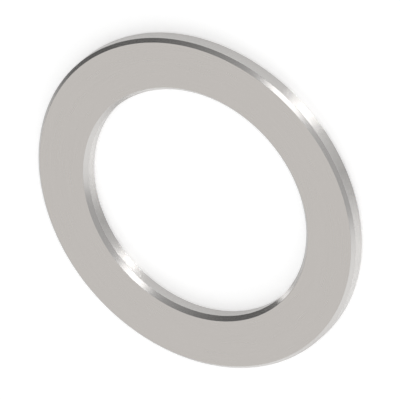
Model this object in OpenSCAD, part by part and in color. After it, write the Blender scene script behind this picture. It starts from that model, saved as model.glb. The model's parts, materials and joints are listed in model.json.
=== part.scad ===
// Flat race of a thrust bearing: one turned, hardened and ground steel ring.
// It lies on its seat face. The bore runs along +Z, and the origin is the
// centre of the bore in the plane of the seat face.

/* [Ring] */
// Diameter of the bore, which slides on the shaft
bore_d = 38.1; // [30:0.1:50]
// Outside diameter, which sits in the housing
outside_d = 55.56; // [44:0.02:80]
// Thickness from the seat face up to the raceway face
thickness = 2.96; // [1.4:0.02:8]

/* [Edges] */
// Leg of the 45 degree chamfer along the two edges of the bore
bore_chamfer = 0.64; // [0.1:0.02:1.4]
// Leg of the 45 degree chamfer along the two edges of the rim
rim_chamfer = 0.54; // [0.1:0.02:1.4]

/* [Hidden] */

// Smoothness of the round faces
$fn = 180;

bore_r = bore_d / 2;
rim_r = outside_d / 2;

// Ground bearing steel
steel_colour = [0.75, 0.73, 0.71];

// Section of the ring to the right of its axis, with a chamfer at each corner.
// The outline runs anticlockwise, starting on the seat face beside the bore.
module race_section() {
    polygon([
        [bore_r + bore_chamfer, 0],
        [rim_r - rim_chamfer, 0],
        [rim_r, rim_chamfer],
        [rim_r, thickness - rim_chamfer],
        [rim_r - rim_chamfer, thickness],
        [bore_r + bore_chamfer, thickness],
        [bore_r, thickness - bore_chamfer],
        [bore_r, bore_chamfer]
    ]);
}

// The whole race: the section turned once round the bore axis.
module bearing_race() {
    color(steel_colour)
        rotate_extrude()
            race_section();
}

bearing_race();
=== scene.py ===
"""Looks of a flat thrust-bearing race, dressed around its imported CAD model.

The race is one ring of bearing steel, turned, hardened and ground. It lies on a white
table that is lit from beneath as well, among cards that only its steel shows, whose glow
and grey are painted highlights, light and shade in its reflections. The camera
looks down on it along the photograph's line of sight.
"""

import json
import logging
import math
from dataclasses import dataclass
from enum import Enum
from typing import Any

import bpy
from mathutils import Matrix, Vector


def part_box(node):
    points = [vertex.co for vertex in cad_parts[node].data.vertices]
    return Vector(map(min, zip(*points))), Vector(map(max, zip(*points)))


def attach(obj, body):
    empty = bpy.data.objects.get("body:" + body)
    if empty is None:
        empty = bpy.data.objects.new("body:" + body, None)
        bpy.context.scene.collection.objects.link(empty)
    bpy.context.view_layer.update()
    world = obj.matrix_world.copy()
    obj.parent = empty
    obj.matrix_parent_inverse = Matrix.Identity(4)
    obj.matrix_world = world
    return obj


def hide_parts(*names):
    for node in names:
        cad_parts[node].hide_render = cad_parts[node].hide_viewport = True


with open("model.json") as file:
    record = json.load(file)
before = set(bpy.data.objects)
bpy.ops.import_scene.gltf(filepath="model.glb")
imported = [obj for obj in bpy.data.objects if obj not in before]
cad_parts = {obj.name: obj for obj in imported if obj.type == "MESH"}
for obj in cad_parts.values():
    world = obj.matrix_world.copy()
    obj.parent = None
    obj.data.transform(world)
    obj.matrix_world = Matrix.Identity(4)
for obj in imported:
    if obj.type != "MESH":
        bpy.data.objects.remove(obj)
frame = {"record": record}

LOG = logging.getLogger("scene")

# One millimetre. Lengths are in metres, as in the frame, unless their names end in mm or px.
MM = 0.001

NODE = "bearing_race"
BODY = "root"
WHITE = "#FFFFFF"

# Height of the photograph's line of sight above the ring's face, in degrees.
SIGHT_DEG = 48.59

# Sockets of a Mix node for colours. They go by number, because other types share their names.
MIX_SHARE = 0
MIX_FIRST = 6
MIX_SECOND = 7
MIX_RESULT = 2

Colour = tuple[float, float, float, float]
Inputs = dict[str | int, Any]


def linear(colour: str) -> Colour:
    """Turn an sRGB hex colour into the linear colour that a shader takes.

    Args:
        colour: Six hex digits after a hash sign.

    Returns:
        Linear red, green and blue, and an alpha of 1.
    """
    levels = [int(colour[i : i + 2], 16) / 255 for i in (1, 3, 5)]
    # The curve of the sRGB standard is straight near black, and a power above that.
    shades = [c / 12.92 if c <= 0.04045 else ((c + 0.055) / 1.055) ** 2.4 for c in levels]
    return (*shades, 1.0)


def add_node(tree: bpy.types.NodeTree, kind: str, inputs: Inputs | None = None, **settings: Any) -> Any:
    """Add one node with its settings, its constants and its links.

    Args:
        tree: Tree that gets the node.
        kind: Blender's own name for the kind of node.
        inputs: For an input's name or number, a constant, or the output that feeds it.
        settings: Values of the node's own properties.

    Returns:
        The new node.
    """
    node = tree.nodes.new(kind)
    for name, value in settings.items():
        setattr(node, name, value)
    for key, value in (inputs or {}).items():
        if isinstance(value, bpy.types.NodeSocket):
            tree.links.new(value, node.inputs[key])
        else:
            node.inputs[key].default_value = value
    return node


def direction(azimuth_deg: float, elevation_deg: float) -> Vector:
    """Give the direction from the ring towards a place in the studio.

    Args:
        azimuth_deg: Angle round the ring, from the side where the camera stands towards +X.
        elevation_deg: Angle above the table.

    Returns:
        A vector of length 1.
    """
    turn, rise = math.radians(azimuth_deg), math.radians(elevation_deg)
    return Vector((math.sin(turn) * math.cos(rise), -math.cos(turn) * math.cos(rise), math.sin(rise)))


def link(name: str, data: bpy.types.ID) -> bpy.types.Object:
    """Put a new object with the given data into the scene.

    Args:
        name: Name of the object.
        data: Its mesh, lamp or camera.

    Returns:
        The object, at the origin.
    """
    made = bpy.data.objects.new(name, data)
    bpy.context.scene.collection.objects.link(made)
    return made


class Land(Enum):
    """Kinds of surface on the ring. The value names its steel among the inputs of the ring's tree."""

    FACE = "Face Steel"
    EDGE = "Edge Steel"


@dataclass(frozen=True)
class CutSteel:
    """Bearing steel with the fine marks that a cutting or grinding tool leaves round its axis.

    Attributes:
        name: Name of the material, from the steel and how its surface was made.
        light: Colour of the crests between marks, as sRGB hex.
        dark: Colour down in the marks, as sRGB hex.
        glance: Share of its usual gloss that the steel keeps at a glancing angle, as sRGB hex.
        roughness: Mean roughness of the surface.
        roughness_swing: How far the marks move the roughness to either side.
        mark_mm: Distance from one mark to the next.
        run_mm: Length of a mark along its arc.
        depth_mm: Depth of the marks.
        octaves: Number of times that finer marks are laid between the marks.
        fade: Strength of the finer marks against the next coarser ones.
        usual: Levels of the pattern that few of its marks pass.
    """

    name: str
    light: str
    dark: str
    glance: str
    roughness: float
    roughness_swing: float
    mark_mm: float
    run_mm: float
    depth_mm: float
    octaves: float = 2.0
    fade: float = 0.55
    usual: tuple[float, float] = (0.25, 0.75)

    def material(self) -> bpy.types.Material:
        """Build the node material of this finish.

        Returns:
            The material, with its marks running round the ring's axis.
        """
        made = bpy.data.materials.new(self.name)
        made.use_nodes = True
        tree = made.node_tree
        shader = tree.nodes["Principled BSDF"]
        shader.inputs["Metallic"].default_value = 1.0
        shader.inputs["Specular Tint"].default_value = linear(self.glance)
        marks = self.marks(tree)

        tint = add_node(
            tree,
            "ShaderNodeMix",
            {MIX_SHARE: marks, MIX_FIRST: linear(self.dark), MIX_SECOND: linear(self.light)},
            data_type="RGBA",
        )
        shine = add_node(
            tree,
            "ShaderNodeMapRange",
            {
                "Value": marks,
                "From Min": self.usual[0],
                "From Max": self.usual[1],
                "To Min": self.roughness + self.roughness_swing,
                "To Max": self.roughness - self.roughness_swing,
            },
        )
        relief = add_node(
            tree,
            "ShaderNodeBump",
            {"Height": marks, "Distance": self.depth_mm * MM, "Strength": 1.0},
        )
        tree.links.new(tint.outputs[MIX_RESULT], shader.inputs["Base Color"])
        tree.links.new(shine.outputs["Result"], shader.inputs["Roughness"])
        tree.links.new(relief.outputs["Normal"], shader.inputs["Normal"])
        return made

    def marks(self, tree: bpy.types.NodeTree) -> bpy.types.NodeSocket:
        """Add the pattern of tool marks.

        A mark is narrow across its arc and long along it, so the noise runs fast with the
        distance from the axis and the height, and slowly with the place along the arc.

        Args:
            tree: Tree of the material.

        Returns:
            An output from 0, down in a mark, to 1, on a crest.
        """
        place = add_node(tree, "ShaderNodeTexCoord")
        axes = add_node(tree, "ShaderNodeSeparateXYZ", {0: place.outputs["Object"]})
        flat = add_node(tree, "ShaderNodeCombineXYZ", {"X": axes.outputs["X"], "Y": axes.outputs["Y"]})
        radius = add_node(tree, "ShaderNodeVectorMath", {0: flat.outputs[0]}, operation="LENGTH")
        per_mark, per_run = 1 / (self.mark_mm * MM), 1 / (self.run_mm * MM)
        outwards, upwards, right, far = (
            add_node(tree, "ShaderNodeMath", {0: way, 1: rate}, operation="MULTIPLY").outputs[0]
            for way, rate in (
                (radius.outputs["Value"], per_mark),
                (axes.outputs["Z"], per_mark),
                (axes.outputs["X"], per_run),
                (axes.outputs["Y"], per_run),
            )
        )
        lay = add_node(tree, "ShaderNodeCombineXYZ", {"X": outwards, "Y": right, "Z": far})
        noise = add_node(
            tree,
            "ShaderNodeTexNoise",
            {
                "Vector": lay.outputs[0],
                "W": upwards,
                "Scale": 1.0,
                "Detail": self.octaves,
                "Roughness": self.fade,
            },
            noise_dimensions="4D",
        )
        return noise.outputs["Fac"]


FINISHES = {
    # Hardened bearing steel, ground and stoned flat: an even, warm satin grey. The real marks
    # are far finer than a tenth of a millimetre, and are drawn coarser so that they show at all.
    Land.FACE: CutSteel(
        name="bearing_steel_ground",
        light="#C1BDB9",
        dark="#BDB9B5",
        glance="#F0F0F0",
        roughness=0.26,
        roughness_swing=0.02,
        mark_mm=0.16,
        run_mm=5.0,
        depth_mm=0.0002,
    ),
    # The same steel, turned and then ground on its axis: a more neutral grey, with faint long
    # marks that leave each glint smooth. They are drawn coarser than the real ones here too.
    Land.EDGE: CutSteel(
        name="bearing_steel_turned",
        light="#BFBDBB",
        dark="#BBB9B7",
        glance="#F0F0F0",
        roughness=0.27,
        roughness_swing=0.005,
        mark_mm=0.12,
        run_mm=9.0,
        depth_mm=0.00005,
    ),
}


@dataclass(frozen=True)
class Race:
    """The ring itself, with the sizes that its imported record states.

    Attributes:
        bore_r: Radius of the bore.
        rim_r: Radius of the rim.
        thickness: Height from the seat face to the raceway face.
        bore_chamfer: Leg of the chamfers along the bore.
        rim_chamfer: Leg of the chamfers along the rim.
        chamfer_steps: Straight steps that cut a chamfer.
        edge_r: Radius that deburring leaves along each sharp edge.
        edge_steps: Straight steps that round such an edge.
        segments: Straight steps round the ring.
        crisp_deg: Bend between two faces above which the edge between them stays crisp.
        level: Height of a normal of length 1 above which its face counts as flat.
    """

    bore_r: float
    rim_r: float
    thickness: float
    bore_chamfer: float
    rim_chamfer: float
    chamfer_steps: int = 1
    edge_r: float = 0.06 * MM
    edge_steps: int = 3
    segments: int = 360
    crisp_deg: float = 4.0
    level: float = 0.99

    @classmethod
    def from_frame(cls) -> "Race":
        """Read the ring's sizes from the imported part.

        Returns:
            The ring, in metres.
        """
        dims = {mount["name"]: mount["dims"] for mount in frame["record"]["mounts"]}
        bore, rim = dims["shaft_bore"], dims["rim_seat"]
        low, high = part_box(NODE)
        thickness = high.z - low.z
        return cls(
            bore_r=bore["r_mm"] * MM,
            rim_r=rim["r_mm"] * MM,
            thickness=thickness,
            bore_chamfer=(thickness - bore["length_mm"] * MM) / 2,
            rim_chamfer=(thickness - rim["length_mm"] * MM) / 2,
        )

    def sizes(self) -> dict[str, float]:
        """Give each size by the name of its input in the ring's tree.

        Returns:
            The sizes that the tree takes.
        """
        return {
            "Bore Radius": self.bore_r,
            "Rim Radius": self.rim_r,
            "Thickness": self.thickness,
            "Bore Chamfer": self.bore_chamfer,
            "Rim Chamfer": self.rim_chamfer,
            "Edge Radius": self.edge_r,
        }

    def counts(self) -> dict[str, int]:
        """Give each number of steps by the name of its input in the ring's tree.

        Returns:
            The counts that the tree takes.
        """
        return {
            "Chamfer Steps": self.chamfer_steps,
            "Edge Steps": self.edge_steps,
            "Segments": self.segments,
        }

    def tree(self) -> bpy.types.NodeTree:
        """Build the node tree that turns the ring's section round its axis.

        Returns:
            A geometry node tree with an input for each size, each count and each steel.
        """
        tree = bpy.data.node_groups.new("turned_ring", "GeometryNodeTree")
        kinds = {name: "NodeSocketFloat" for name in self.sizes()}
        kinds |= {name: "NodeSocketInt" for name in self.counts()}
        kinds |= {land.value: "NodeSocketMaterial" for land in Land}
        for name, kind in kinds.items():
            tree.interface.new_socket(name, in_out="INPUT", socket_type=kind)
        tree.interface.new_socket("Ring", in_out="OUTPUT", socket_type="NodeSocketGeometry")
        given = add_node(tree, "NodeGroupInput").outputs

        section = self.section(tree, given)
        turned = self.turning(tree, given, section)
        dressed = self.dressing(tree, given, turned)
        add_node(tree, "NodeGroupOutput", {0: dressed})
        return tree

    def section(self, tree: bpy.types.NodeTree, given: Any) -> bpy.types.NodeSocket:
        """Add the ring's section, centred on its own middle.

        It is a rectangle from the bore to the rim. Its corners are cut to chamfers, the outer two
        by the rim's leg and the inner two by the bore's, and every corner is then rounded a little.

        Args:
            tree: Tree that turns the ring.
            given: The tree's inputs, by name.

        Returns:
            The closed outline.
        """
        width = add_node(
            tree,
            "ShaderNodeMath",
            {0: given["Rim Radius"], 1: given["Bore Radius"]},
            operation="SUBTRACT",
        )
        blank = add_node(
            tree,
            "GeometryNodeCurvePrimitiveQuadrilateral",
            {"Width": width.outputs[0], "Height": given["Thickness"]},
            mode="RECTANGLE",
        )
        place = add_node(tree, "GeometryNodeInputPosition")
        sides = add_node(tree, "ShaderNodeSeparateXYZ", {0: place.outputs[0]})
        outer = add_node(
            tree, "FunctionNodeCompare", {0: sides.outputs["X"], 1: 0.0}, operation="GREATER_THAN"
        )
        leg = add_node(
            tree,
            "GeometryNodeSwitch",
            {"Switch": outer.outputs[0], "False": given["Bore Chamfer"], "True": given["Rim Chamfer"]},
            input_type="FLOAT",
        )
        chamfered = add_node(
            tree,
            "GeometryNodeFilletCurve",
            {"Curve": blank.outputs[0], "Count": given["Chamfer Steps"], "Radius": leg.outputs[0]},
            mode="POLY",
        )
        rounded = add_node(
            tree,
            "GeometryNodeFilletCurve",
            {
                "Curve": chamfered.outputs[0],
                "Count": given["Edge Steps"],
                "Radius": given["Edge Radius"],
            },
            mode="POLY",
        )
        return rounded.outputs[0]

    def turning(
        self, tree: bpy.types.NodeTree, given: Any, section: bpy.types.NodeSocket
    ) -> bpy.types.NodeSocket:
        """Add the steps that take the section once round a circle through its middle.

        Args:
            tree: Tree that turns the ring.
            given: The tree's inputs, by name.
            section: Closed outline of the section.

        Returns:
            The ring's mesh, lying on its seat face.
        """
        both = add_node(
            tree,
            "ShaderNodeMath",
            {0: given["Rim Radius"], 1: given["Bore Radius"]},
            operation="ADD",
        )
        middle = add_node(tree, "ShaderNodeMath", {0: both.outputs[0], 1: 2.0}, operation="DIVIDE")
        circle = add_node(
            tree,
            "GeometryNodeCurvePrimitiveCircle",
            {"Resolution": given["Segments"], "Radius": middle.outputs[0]},
            mode="RADIUS",
        )
        path = add_node(tree, "GeometryNodeSetCurveNormal", {"Curve": circle.outputs[0]}, mode="Z_UP")
        turned = add_node(
            tree, "GeometryNodeCurveToMesh", {"Curve": path.outputs[0], "Profile Curve": section}
        )
        half = add_node(tree, "ShaderNodeMath", {0: given["Thickness"], 1: 2.0}, operation="DIVIDE")
        lift = add_node(tree, "ShaderNodeCombineXYZ", {"Z": half.outputs[0]})
        seated = add_node(
            tree,
            "GeometryNodeTransform",
            {"Geometry": turned.outputs[0], "Translation": lift.outputs[0]},
        )
        return seated.outputs[0]

    def dressing(
        self, tree: bpy.types.NodeTree, given: Any, ring: bpy.types.NodeSocket
    ) -> bpy.types.NodeSocket:
        """Add the steps that shade the ring and give each land its steel.

        Round the ring the surface is smooth, and across the section each land keeps its own slope.

        Args:
            tree: Tree that turns the ring.
            given: The tree's inputs, by name.
            ring: The ring's mesh.

        Returns:
            The finished ring.
        """
        bend = add_node(tree, "GeometryNodeInputMeshEdgeAngle")
        corner = add_node(
            tree,
            "FunctionNodeCompare",
            {0: bend.outputs["Unsigned Angle"], 1: math.radians(self.crisp_deg)},
            operation="GREATER_THAN",
        )
        smooth = add_node(tree, "GeometryNodeSetShadeSmooth", {"Geometry": ring}, domain="FACE")
        crisp = add_node(
            tree,
            "GeometryNodeSetShadeSmooth",
            {"Geometry": smooth.outputs[0], "Selection": corner.outputs[0], "Shade Smooth": False},
            domain="EDGE",
        )
        normal = add_node(tree, "GeometryNodeInputNormal")
        slope = add_node(tree, "ShaderNodeSeparateXYZ", {0: normal.outputs[0]})
        height = add_node(tree, "ShaderNodeMath", {0: slope.outputs["Z"]}, operation="ABSOLUTE")
        face = add_node(
            tree,
            "FunctionNodeCompare",
            {0: height.outputs[0], 1: self.level},
            operation="GREATER_THAN",
        )
        whole = add_node(tree, "GeometryNodeRealizeInstances", {"Geometry": crisp.outputs[0]})
        edged = add_node(
            tree,
            "GeometryNodeSetMaterial",
            {"Geometry": whole.outputs[0], "Material": given[Land.EDGE.value]},
        )
        faced = add_node(
            tree,
            "GeometryNodeSetMaterial",
            {
                "Geometry": edged.outputs[0],
                "Selection": face.outputs[0],
                "Material": given[Land.FACE.value],
            },
        )
        return faced.outputs[0]

    def build(self) -> bpy.types.Object:
        """Turn the ring and dress it in its two finishes.

        Returns:
            The finished piece, riding on the part's one body.
        """
        ring = link("race", bpy.data.meshes.new("race_carrier"))
        modifier = ring.modifiers.new("turned_ring", "NODES")
        modifier.node_group = self.tree()
        steels = {land.value: finish.material() for land, finish in FINISHES.items()}
        values = self.sizes() | self.counts() | steels
        for socket in modifier.node_group.interface.items_tree:
            if socket.in_out == "INPUT":
                modifier[socket.identifier] = values[socket.name]
        depsgraph = bpy.context.evaluated_depsgraph_get()
        mesh = bpy.data.meshes.new_from_object(ring.evaluated_get(depsgraph), depsgraph=depsgraph)
        mesh.name = "race"
        ring.modifiers.clear()
        ring.data = mesh
        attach(ring, BODY)
        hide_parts(NODE)
        return ring


@dataclass(frozen=True)
class Viewpoint:
    """The photograph's line of sight and framing, without perspective.

    Attributes:
        elevation_deg: Height of the line of sight above the ring's face.
        roll_deg: Turn of the picture about the line of sight, anticlockwise.
        rim_px: Radius of the rim in the picture.
        face_px: Centre of the ring's upper face in the picture, right and down from its corner.
        frame_px: Side of the square picture.
        distance: Distance of the camera from the ring.
        sight: Nearest and farthest distance that the camera sees.
    """

    elevation_deg: float = SIGHT_DEG
    roll_deg: float = 130.89
    rim_px: float = 183.2
    face_px: tuple[float, float] = (195.33, 204.44)
    frame_px: float = 400.0
    distance: float = 0.4
    sight: tuple[float, float] = (0.01, 10.0)

    def build(self, race: Race) -> bpy.types.Object:
        """Make the camera and give it to the scene.

        Args:
            race: The ring that the picture frames.

        Returns:
            The camera.
        """
        back = direction(0.0, self.elevation_deg)
        roll = Matrix.Rotation(-math.radians(self.roll_deg), 3, back)
        right = roll @ direction(90.0, 0.0)
        up = roll @ direction(180.0, 90.0 - self.elevation_deg)

        metres_per_px = race.rim_r / self.rim_px
        middle = self.frame_px / 2
        aim = Vector((0.0, 0.0, race.thickness))
        aim += right * (middle - self.face_px[0]) * metres_per_px
        aim -= up * (middle - self.face_px[1]) * metres_per_px

        lens = bpy.data.cameras.new("camera")
        lens.type = "ORTHO"
        lens.ortho_scale = self.frame_px * metres_per_px
        lens.clip_start, lens.clip_end = self.sight
        camera = link("camera", lens)
        turn = Matrix((right, up, back)).transposed().to_4x4()
        camera.matrix_world = Matrix.Translation(aim + back * self.distance) @ turn
        bpy.context.scene.camera = camera
        return camera


class Side(Enum):
    """Side of the table on which a lamp stands. The value is the sign of its height."""

    ABOVE = 1
    BELOW = -1


@dataclass(frozen=True)
class Softbox:
    """A soft rectangular lamp that faces the ring.

    Attributes:
        name: Name of the lamp.
        side: Side of the table on which it stands.
        azimuth_deg: Angle round the ring, from the camera's side towards +X.
        slant_deg: Angle between the table and the line from the ring to the lamp.
        wide: Width of the lamp.
        high: Height of the lamp.
        radiance: Brightness of its front, where 1 is white.
        distance: Distance from the ring.
    """

    name: str
    side: Side
    azimuth_deg: float
    slant_deg: float
    wide: float
    high: float
    radiance: float
    distance: float = 1.5

    def build(self) -> bpy.types.Object:
        """Make the lamp.

        Returns:
            The lamp, aimed at the ring.
        """
        data = bpy.data.lights.new(self.name, "AREA")
        data.shape = "RECTANGLE"
        data.size, data.size_y = self.wide, self.high
        # The power that gives a front of this size that brightness.
        data.energy = self.radiance * math.pi * self.wide * self.high
        # A mirrored ray ends at the table, so a lamp beneath it is sampled as a lamp alone.
        data.cycles.use_multiple_importance_sampling = self.side is Side.ABOVE
        lamp = link(self.name, data)
        away = direction(self.azimuth_deg, self.side.value * self.slant_deg)
        turn = away.to_track_quat("Z", "Y").to_matrix().to_4x4()
        lamp.matrix_world = Matrix.Translation(away * self.distance) @ turn
        lamp.visible_camera = False
        return lamp


LAMPS = (
    # Stands where the flat face mirrors it to the camera, and gives the face its even grey.
    Softbox(
        name="back_softbox",
        side=Side.ABOVE,
        azimuth_deg=180.0,
        slant_deg=SIGHT_DEG,
        wide=1.35,
        high=1.35,
        radiance=0.52,
    ),
    # Gives the face the same grey for an eye above it.
    Softbox(
        name="top_softbox",
        side=Side.ABOVE,
        azimuth_deg=0.0,
        slant_deg=90.0,
        wide=1.35,
        high=1.35,
        radiance=0.35,
    ),
    # Fills the face for an eye behind it.
    Softbox(
        name="front_softbox",
        side=Side.ABOVE,
        azimuth_deg=45.0,
        slant_deg=12.0,
        wide=1.08,
        high=0.54,
        radiance=0.3,
    ),
    # Brightens the chamfers that face left of the camera.
    Softbox(
        name="left_softbox",
        side=Side.ABOVE,
        azimuth_deg=-108.0,
        slant_deg=20.0,
        wide=2.13,
        high=1.08,
        radiance=0.66,
    ),
    # Stands beside the camera, and puts one white glint on each chamfer.
    Softbox(
        name="key_softbox",
        side=Side.ABOVE,
        azimuth_deg=12.0,
        slant_deg=41.0,
        wide=0.51,
        high=0.48,
        radiance=2.8,
    ),
    # Stands where the upright walls mirror it to the camera, shines up through the table, and
    # brings the glint on the rim and the one on the bore to white.
    Softbox(
        name="glint_lamp",
        side=Side.BELOW,
        azimuth_deg=0.0,
        slant_deg=SIGHT_DEG,
        wide=0.36,
        high=0.36,
        radiance=0.9,
    ),
)


@dataclass(frozen=True)
class Matt:
    """A matt sheet with no gloss of its own, as the stage is made of.

    Attributes:
        name: Name of the material, from what the sheet is and how its surface was made.
        colour: Colour of the sheet, as sRGB hex.
        glow: Share of white that the sheet adds where it is seen as the background.
        cover: Share of what lies behind the sheet that its middle hides.
        fade: Share of the way from the middle to an end along which the sheet thins out to nothing.
        roughness: Roughness of the surface.
    """

    name: str
    colour: str
    glow: float = 0.0
    cover: float = 1.0
    fade: float = 0.0
    roughness: float = 0.9

    def material(self) -> bpy.types.Material:
        """Build the node material of this sheet.

        Returns:
            The material.
        """
        made = bpy.data.materials.new(self.name)
        made.use_nodes = True
        tree = made.node_tree
        shader = tree.nodes["Principled BSDF"]
        shader.inputs["Base Color"].default_value = linear(self.colour)
        shader.inputs["Roughness"].default_value = self.roughness
        shader.inputs["Specular IOR Level"].default_value = 0.0
        shader.inputs["Emission Color"].default_value = linear(WHITE)
        shader.inputs["Alpha"].default_value = self.cover
        # The glow is there to be seen, and lights nothing, so it isn't sampled as a lamp.
        made.cycles.emission_sampling = "NONE"
        if self.glow:
            shown = self.seen(tree)
            glow = add_node(tree, "ShaderNodeMath", {0: shown, 1: self.glow}, operation="MULTIPLY")
            tree.links.new(glow.outputs[0], shader.inputs["Emission Strength"])
        if self.fade:
            cover = add_node(
                tree, "ShaderNodeMath", {0: self.thinned(tree), 1: self.cover}, operation="MULTIPLY"
            )
            tree.links.new(cover.outputs[0], shader.inputs["Alpha"])
        return made

    def thinned(self, tree: bpy.types.NodeTree) -> bpy.types.NodeSocket:
        """Add the fading of the sheet to both ends.

        Args:
            tree: Tree of the material.

        Returns:
            An output from 0, at an end of the sheet, to 1, in its middle.
        """
        place = add_node(tree, "ShaderNodeTexCoord")
        inwards = add_node(
            tree, "ShaderNodeTexGradient", {0: place.outputs["UV"]}, gradient_type="SPHERICAL"
        )
        whole = add_node(
            tree,
            "ShaderNodeMath",
            {0: inwards.outputs["Fac"], 1: self.fade},
            operation="DIVIDE",
            use_clamp=True,
        )
        return whole.outputs[0]

    def seen(self, tree: bpy.types.NodeTree) -> bpy.types.NodeSocket:
        """Add the test for rays that show the background.

        They are the camera's own rays, and those that metal or glass sends on.

        Args:
            tree: Tree of the material.

        Returns:
            An output that is 1 for such a ray and 0 for another.
        """
        path = add_node(tree, "ShaderNodeLightPath").outputs
        shown = path["Is Camera Ray"]
        for kind in ("Is Glossy Ray", "Is Transmission Ray"):
            either = add_node(tree, "ShaderNodeMath", {0: shown, 1: path[kind]}, operation="MAXIMUM")
            shown = either.outputs[0]
        return shown


# Opal acrylic, sanded matt: an even white that glows a little from the light beneath it.
TABLE_TOP = Matt(name="opal_acrylic_sanded", colour="#EEEEEE", glow=0.40)

# The same acrylic, glowing white with no lamp behind it: a painted glow, brightest in its middle and
# fading to the ends, which the steel mirrors as painted highlights.
GLOWING_ACRYLIC = Matt(name="opal_acrylic_painted_glow", colour=WHITE, glow=1.0, fade=0.8)

# Thin opal film with a painted glow and no lamp behind it: a little brighter than the table, up to soft
# ends, which the steel mirrors as painted light.
GLOWING_FILM = Matt(name="opal_film_painted_glow", colour="#EEEEEE", glow=1.0, cover=0.46, fade=0.65)

# Wool felt, pressed: matt, and dark beside the white table. Seen only in the steel, it is a painted
# dark reflection.
FELT = Matt(name="wool_felt_pressed", colour="#787878", roughness=1.0)

# Nylon scrim, woven open, seen only in the steel: a sheer grey that paints shade where the steel
# mirrors the table behind it, and fades to the ends.
PAINTED_SHADE_SCRIM = Matt(name="nylon_scrim_painted_shade", colour="#787878", cover=0.36, fade=1.0, roughness=1.0)


def sheet(name: str, corners: list[Vector], finish: Matt) -> bpy.types.Object:
    """Make a flat piece of the stage.

    Args:
        name: Name of the piece.
        corners: Its four corners, in turn. The first two are the ends of its first side.
        finish: What it is made of.

    Returns:
        The piece, with a map that runs from -1 to 1 along its first side.
    """
    mesh = bpy.data.meshes.new(name)
    mesh.from_pydata(corners, [], [(0, 1, 2, 3)])
    ends = mesh.uv_layers.new(name="ends")
    for corner, end in zip(ends.data, (-1.0, 1.0, 1.0, -1.0)):
        corner.uv = (end, 0.0)
    mesh.materials.append(finish.material())
    made = link(name, mesh)
    return made


class Pose(Enum):
    """How a card is set on the table. The value is the angle at which it rises, in degrees."""

    UPRIGHT = 90.0
    LYING = 0.0


class Layer(Enum):
    """Height of a card's first side above the table. Cards that overlap lie on different layers."""

    LOW = 0.02 * MM
    MIDDLE = 0.04 * MM
    TOP = 0.06 * MM
    CLEAR = 0.5 * MM


@dataclass(frozen=True)
class Card:
    """A card beside the ring or inside its bore, which only the steel shows. Its glow, grey or dark is
    painted light or shade in the steel's reflections.

    Attributes:
        name: Name of the card.
        finish: What it is made of.
        pose: How it is set on the table.
        azimuth_deg: Angle round the ring to the middle of its first side.
        distance: Distance of that middle from the ring's axis.
        wide: Length of its first side.
        deep: Length of its other side, which runs up, or away from the axis where the card lies.
        turn_deg: Turn of the card about that middle, from square to the axis.
        layer: Height of its first side above the table.
    """

    name: str
    finish: Matt
    pose: Pose
    azimuth_deg: float
    distance: float
    wide: float
    deep: float
    turn_deg: float = 0.0
    layer: Layer = Layer.LOW

    def build(self) -> bpy.types.Object:
        """Make the card.

        Returns:
            The card, hidden from all but the rays that the steel mirrors.
        """
        facing = self.azimuth_deg + self.turn_deg
        rise = direction(facing, self.pose.value) * self.deep
        along = direction(facing + 90.0, 0.0) * self.wide / 2
        middle = direction(self.azimuth_deg, 0.0) * self.distance
        middle += direction(0.0, 90.0) * self.layer.value
        left, right = middle - along, middle + along
        card = sheet(self.name, [left, right, right + rise, left + rise], self.finish)
        card.visible_camera = False
        card.visible_diffuse = False
        card.visible_shadow = False
        return card


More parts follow.
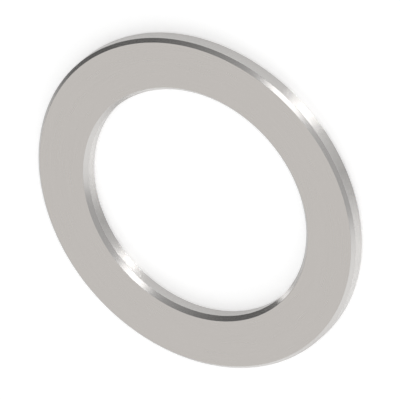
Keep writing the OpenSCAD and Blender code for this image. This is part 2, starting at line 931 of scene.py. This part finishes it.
CARDS = (
    # Gives the chamfers that face right of the camera their dark line: a painted dark reflection.
    Card(
        name="dark_reflection_flag",
        finish=FELT,
        pose=Pose.UPRIGHT,
        azimuth_deg=110.0,
        distance=39 * MM,
        wide=32 * MM,
        deep=7 * MM,
        layer=Layer.CLEAR,
    ),
    # Puts a small bright spot on the chamfer of the bore, where its dark line ends: a painted
    # highlight.
    Card(
        name="spot_card",
        finish=GLOWING_ACRYLIC,
        pose=Pose.UPRIGHT,
        azimuth_deg=-92.3,
        distance=17.1 * MM,
        wide=3.1 * MM,
        deep=3.3 * MM,
        turn_deg=47.7,
    ),
    # Starts the glint on the rim with a painted highlight, which the lamp beneath the table brings to
    # white.
    Card(
        name="rim_glint_card",
        finish=GLOWING_ACRYLIC,
        pose=Pose.LYING,
        azimuth_deg=0.0,
        distance=26 * MM,
        wide=9.6 * MM,
        deep=5.4 * MM,
        layer=Layer.MIDDLE,
    ),
    # Does the same for the glint on the bore, with a painted highlight.
    Card(
        name="bore_glint_card",
        finish=GLOWING_ACRYLIC,
        pose=Pose.LYING,
        azimuth_deg=180.0,
        distance=15.3 * MM,
        wide=5.8 * MM,
        deep=5 * MM,
        layer=Layer.MIDDLE,
    ),
    # Brightens the rim where it faces left, with painted light in its reflection.
    Card(
        name="rim_painted_glow_film",
        finish=GLOWING_FILM,
        pose=Pose.LYING,
        azimuth_deg=-60.0,
        distance=24 * MM,
        wide=27 * MM,
        deep=7 * MM,
        layer=Layer.MIDDLE,
    ),
    # Brightens the bore where it faces left, with painted light in its reflection.
    Card(
        name="bore_painted_glow_film",
        finish=GLOWING_FILM,
        pose=Pose.LYING,
        azimuth_deg=127.0,
        distance=11 * MM,
        wide=16 * MM,
        deep=8.3 * MM,
        layer=Layer.MIDDLE,
    ),
    # Brightens the chamfer of the rim where it turns away from the camera, with painted light in its
    # reflection.
    Card(
        name="rim_chamfer_painted_glow_film",
        finish=GLOWING_FILM,
        pose=Pose.LYING,
        azimuth_deg=-119.3,
        distance=30.8 * MM,
        wide=30 * MM,
        deep=70 * MM,
        turn_deg=-15.7,
        layer=Layer.TOP,
    ),
    # Brightens the chamfer of the bore where it turns away from the camera, with painted light in its
    # reflection.
    Card(
        name="bore_chamfer_painted_glow_film",
        finish=GLOWING_FILM,
        pose=Pose.LYING,
        azimuth_deg=97.0,
        distance=6.5 * MM,
        wide=26 * MM,
        deep=9 * MM,
        turn_deg=-7.0,
        layer=Layer.TOP,
    ),
    # Dims the rim beside its glint, with painted shade in its reflection.
    Card(
        name="rim_painted_shade_scrim",
        finish=PAINTED_SHADE_SCRIM,
        pose=Pose.LYING,
        azimuth_deg=-24.0,
        distance=25.8 * MM,
        wide=19 * MM,
        deep=5.4 * MM,
    ),
    # Dims the bore beside its glint, with painted shade in its reflection.
    Card(
        name="bore_painted_shade_scrim",
        finish=PAINTED_SHADE_SCRIM,
        pose=Pose.LYING,
        azimuth_deg=159.0,
        distance=15.3 * MM,
        wide=12.8 * MM,
        deep=5 * MM,
    ),
)


@dataclass(frozen=True)
class Studio:
    """The white table, the even light of the room, the lamps and the cards.

    Attributes:
        table_side: Side of the square table.
        room: Brightness of the room's even light, where 1 is white.
        dim_room: Brightness of the room's dim side.
        dim_azimuth_deg: Angle round the ring to the middle of the dim side.
        dim_slant_deg: Angle above the table to the middle of the dim side.
        dim_reach: Cosines of the angles from that middle where the dim side starts and is darkest.
    """

    table_side: float = 4.0
    room: float = 0.65
    dim_room: float = 0.175
    dim_azimuth_deg: float = 112.0
    dim_slant_deg: float = 11.0
    dim_reach: tuple[float, float] = (0.11, 0.95)

    def table(self) -> bpy.types.Object:
        """Make the white table under the ring.

        Returns:
            The table.
        """
        half = self.table_side / 2
        corners = [Vector((x * half, y * half, 0.0)) for x, y in ((-1, -1), (1, -1), (1, 1), (-1, 1))]
        board = sheet("floor", corners, TABLE_TOP)
        # The sheet takes the ring's shadow, and lets the lamp beneath it through.
        board.visible_shadow = False
        return board

    def air(self) -> bpy.types.World:
        """Light the scene evenly from all round, with one dim side, and white below the table's edge.

        Returns:
            The world.
        """
        world = bpy.data.worlds.new("studio")
        world.use_nodes = True
        tree = world.node_tree
        way = add_node(tree, "ShaderNodeTexCoord").outputs["Generated"]
        side = add_node(
            tree,
            "ShaderNodeVectorMath",
            {0: way, 1: direction(self.dim_azimuth_deg, self.dim_slant_deg)},
            operation="DOT_PRODUCT",
        )
        wall = add_node(
            tree,
            "ShaderNodeMapRange",
            {
                "Value": side.outputs["Value"],
                "From Min": self.dim_reach[0],
                "From Max": self.dim_reach[1],
                "To Min": self.room,
                "To Max": self.dim_room,
            },
        )
        axes = add_node(tree, "ShaderNodeSeparateXYZ", {0: way})
        below = add_node(tree, "ShaderNodeMath", {0: axes.outputs["Z"], 1: 0.0}, operation="LESS_THAN")
        level = add_node(
            tree,
            "ShaderNodeMapRange",
            {"Value": below.outputs[0], "To Min": wall.outputs["Result"], "To Max": 1.0},
        )
        background = tree.nodes["Background"]
        background.inputs["Color"].default_value = linear(WHITE)
        tree.links.new(level.outputs["Result"], background.inputs["Strength"])
        bpy.context.scene.world = world
        return world

    def build(self) -> list[bpy.types.ID]:
        """Make the table, the world, the lamps and the cards.

        Returns:
            What was made, in that order.
        """
        bpy.context.scene.view_settings.view_transform = "Standard"
        return [self.table(), self.air(), *(thing.build() for thing in LAMPS + CARDS)]


def main() -> None:
    """Build the race, its studio and its camera, and log what was made."""
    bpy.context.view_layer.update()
    race = Race.from_frame()
    piece = race.build()
    LOG.info("%s: %d faces on body %s", piece.name, len(piece.data.polygons), BODY)
    for made in Studio().build():
        LOG.info("%s: part of the studio", made.name)
    camera = Viewpoint().build(race)
    LOG.info("%s: frame %.1f mm wide", camera.name, camera.data.ortho_scale / MM)


if __name__ == "__main__":
    logging.basicConfig(level=logging.INFO)
    main()
